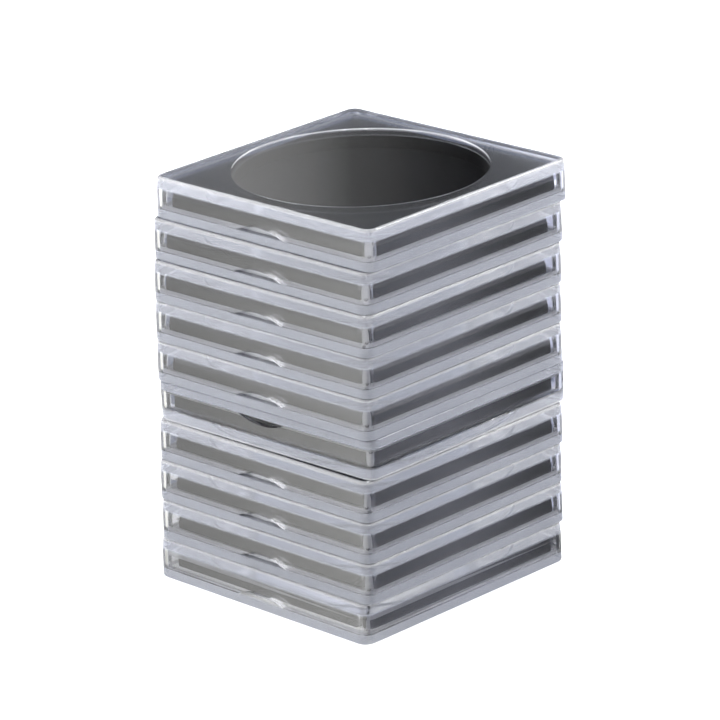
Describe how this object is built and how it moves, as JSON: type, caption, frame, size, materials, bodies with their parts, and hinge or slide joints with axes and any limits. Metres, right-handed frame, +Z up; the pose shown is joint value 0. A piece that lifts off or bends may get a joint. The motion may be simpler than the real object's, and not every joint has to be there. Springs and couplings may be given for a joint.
{
  "type": "coin capsule stack",
  "caption": "Stack of clear square coin capsules, each a base tray and lift-off lid around a black foam insert with a round coin recess.",
  "frame": {"origin": "middle of the stack's footprint, on the surface it stands on", "axes": "+Z up along the stack, -Y towards the side with the thumbnail notches"},
  "size_m": [0.0692, 0.07, 0.0971],
  "materials": {
    "clear_base": "clear polished polystyrene",
    "clear_lid": "clear polystyrene, polished window and fine satin surround",
    "black_foam": "matt closed-cell foam"
  },
  "bodies": {
    "capsule_10_base": {"capsule_10_base": "clear_base"},
    "capsule_10_foam_insert": {"capsule_10_foam_insert": "black_foam"},
    "capsule_10_lid": {"capsule_10_lid": "clear_lid"},
    "capsule_09_base": {"capsule_09_base": "clear_base"},
    "capsule_09_foam_insert": {"capsule_09_foam_insert": "black_foam"},
    "capsule_09_lid": {"capsule_09_lid": "clear_lid"},
    "capsule_08_base": {"capsule_08_base": "clear_base"},
    "capsule_08_foam_insert": {"capsule_08_foam_insert": "black_foam"},
    "capsule_08_lid": {"capsule_08_lid": "clear_lid"},
    "capsule_07_base": {"capsule_07_base": "clear_base"},
    "capsule_07_foam_insert": {"capsule_07_foam_insert": "black_foam"},
    "capsule_07_lid": {"capsule_07_lid": "clear_lid"},
    "capsule_06_lid": {"capsule_06_lid": "clear_lid"},
    "capsule_06_foam_insert": {"capsule_06_foam_insert": "black_foam"},
    "capsule_06_base": {"capsule_06_base": "clear_base"},
    "capsule_05_base": {"capsule_05_base": "clear_base"},
    "capsule_05_foam_insert": {"capsule_05_foam_insert": "black_foam"},
    "capsule_05_lid": {"capsule_05_lid": "clear_lid"},
    "capsule_04_base": {"capsule_04_base": "clear_base"},
    "capsule_04_foam_insert": {"capsule_04_foam_insert": "black_foam"},
    "capsule_04_lid": {"capsule_04_lid": "clear_lid"},
    "capsule_03_base": {"capsule_03_base": "clear_base"},
    "capsule_03_foam_insert": {"capsule_03_foam_insert": "black_foam"},
    "capsule_03_lid": {"capsule_03_lid": "clear_lid"},
    "capsule_02_base": {"capsule_02_base": "clear_base"},
    "capsule_02_foam_insert": {"capsule_02_foam_insert": "black_foam"},
    "capsule_02_lid": {"capsule_02_lid": "clear_lid"},
    "capsule_01_base": {"capsule_01_base": "clear_base"},
    "capsule_01_foam_insert": {"capsule_01_foam_insert": "black_foam"},
    "capsule_01_lid": {"capsule_01_lid": "clear_lid"}
  },
  "joints": [
    {"name": "capsule_10_insert_lift", "type": "slide", "parent": "capsule_10_base", "child": "capsule_10_foam_insert", "axis": [0, 0, 1], "range_m": [0, 0.006]},
    {"name": "capsule_10_lid_lift", "type": "slide", "parent": "capsule_10_foam_insert", "child": "capsule_10_lid", "axis": [0, 0, 1], "range_m": [0, 0.01]},
    {"name": "capsule_09_lift", "type": "slide", "parent": "capsule_10_lid", "child": "capsule_09_base", "axis": [0, 0, 1], "range_m": [0, 0.015]},
    {"name": "capsule_09_insert_lift", "type": "slide", "parent": "capsule_09_base", "child": "capsule_09_foam_insert", "axis": [0, 0, 1], "range_m": [0, 0.006]},
    {"name": "capsule_09_lid_lift", "type": "slide", "parent": "capsule_09_foam_insert", "child": "capsule_09_lid", "axis": [0, 0, 1], "range_m": [0, 0.01]},
    {"name": "capsule_08_lift", "type": "slide", "parent": "capsule_09_lid", "child": "capsule_08_base", "axis": [0, 0, 1], "range_m": [0, 0.015]},
    {"name": "capsule_08_insert_lift", "type": "slide", "parent": "capsule_08_base", "child": "capsule_08_foam_insert", "axis": [0, 0, 1], "range_m": [0, 0.006]},
    {"name": "capsule_08_lid_lift", "type": "slide", "parent": "capsule_08_foam_insert", "child": "capsule_08_lid", "axis": [0, 0, 1], "range_m": [0, 0.01]},
    {"name": "capsule_07_lift", "type": "slide", "parent": "capsule_08_lid", "child": "capsule_07_base", "axis": [0, 0, 1], "range_m": [0, 0.015]},
    {"name": "capsule_07_insert_lift", "type": "slide", "parent": "capsule_07_base", "child": "capsule_07_foam_insert", "axis": [0, 0, 1], "range_m": [0, 0.006]},
    {"name": "capsule_07_lid_lift", "type": "slide", "parent": "capsule_07_foam_insert", "child": "capsule_07_lid", "axis": [0, 0, 1], "range_m": [0, 0.01]},
    {"name": "capsule_06_lift", "type": "slide", "parent": "capsule_07_lid", "child": "capsule_06_lid", "axis": [0, 0, 1], "range_m": [0, 0.015]},
    {"name": "capsule_06_insert_lift", "type": "slide", "parent": "capsule_06_lid", "child": "capsule_06_foam_insert", "axis": [0, 0, 1], "range_m": [0, 0.008]},
    {"name": "capsule_06_base_lift", "type": "slide", "parent": "capsule_06_foam_insert", "child": "capsule_06_base", "axis": [0, 0, 1], "range_m": [0, 0.006]},
    {"name": "capsule_05_lift", "type": "slide", "parent": "capsule_06_base", "child": "capsule_05_base", "axis": [0, 0, 1], "range_m": [0, 0.015]},
    {"name": "capsule_05_insert_lift", "type": "slide", "parent": "capsule_05_base", "child": "capsule_05_foam_insert", "axis": [0, 0, 1], "range_m": [0, 0.006]},
    {"name": "capsule_05_lid_lift", "type": "slide", "parent": "capsule_05_foam_insert", "child": "capsule_05_lid", "axis": [0, 0, 1], "range_m": [0, 0.01]},
    {"name": "capsule_04_lift", "type": "slide", "parent": "capsule_05_lid", "child": "capsule_04_base", "axis": [0, 0, 1], "range_m": [0, 0.015]},
    {"name": "capsule_04_insert_lift", "type": "slide", "parent": "capsule_04_base", "child": "capsule_04_foam_insert", "axis": [0, 0, 1], "range_m": [0, 0.006]},
    {"name": "capsule_04_lid_lift", "type": "slide", "parent": "capsule_04_foam_insert", "child": "capsule_04_lid", "axis": [0, 0, 1], "range_m": [0, 0.01]},
    {"name": "capsule_03_lift", "type": "slide", "parent": "capsule_04_lid", "child": "capsule_03_base", "axis": [0, 0, 1], "range_m": [0, 0.015]},
    {"name": "capsule_03_insert_lift", "type": "slide", "parent": "capsule_03_base", "child": "capsule_03_foam_insert", "axis": [0, 0, 1], "range_m": [0, 0.006]},
    {"name": "capsule_03_lid_lift", "type": "slide", "parent": "capsule_03_foam_insert", "child": "capsule_03_lid", "axis": [0, 0, 1], "range_m": [0, 0.01]},
    {"name": "capsule_02_lift", "type": "slide", "parent": "capsule_03_lid", "child": "capsule_02_base", "axis": [0, 0, 1], "range_m": [0, 0.015]},
    {"name": "capsule_02_insert_lift", "type": "slide", "parent": "capsule_02_base", "child": "capsule_02_foam_insert", "axis": [0, 0, 1], "range_m": [0, 0.006]},
    {"name": "capsule_02_lid_lift", "type": "slide", "parent": "capsule_02_foam_insert", "child": "capsule_02_lid", "axis": [0, 0, 1], "range_m": [0, 0.01]},
    {"name": "capsule_01_lift", "type": "slide", "parent": "capsule_02_lid", "child": "capsule_01_base", "axis": [0, 0, 1], "range_m": [0, 0.015]},
    {"name": "capsule_01_insert_lift", "type": "slide", "parent": "capsule_01_base", "child": "capsule_01_foam_insert", "axis": [0, 0, 1], "range_m": [0, 0.006]},
    {"name": "capsule_01_lid_lift", "type": "slide", "parent": "capsule_01_foam_insert", "child": "capsule_01_lid", "axis": [0, 0, 1], "range_m": [0, 0.01]}
  ]
}
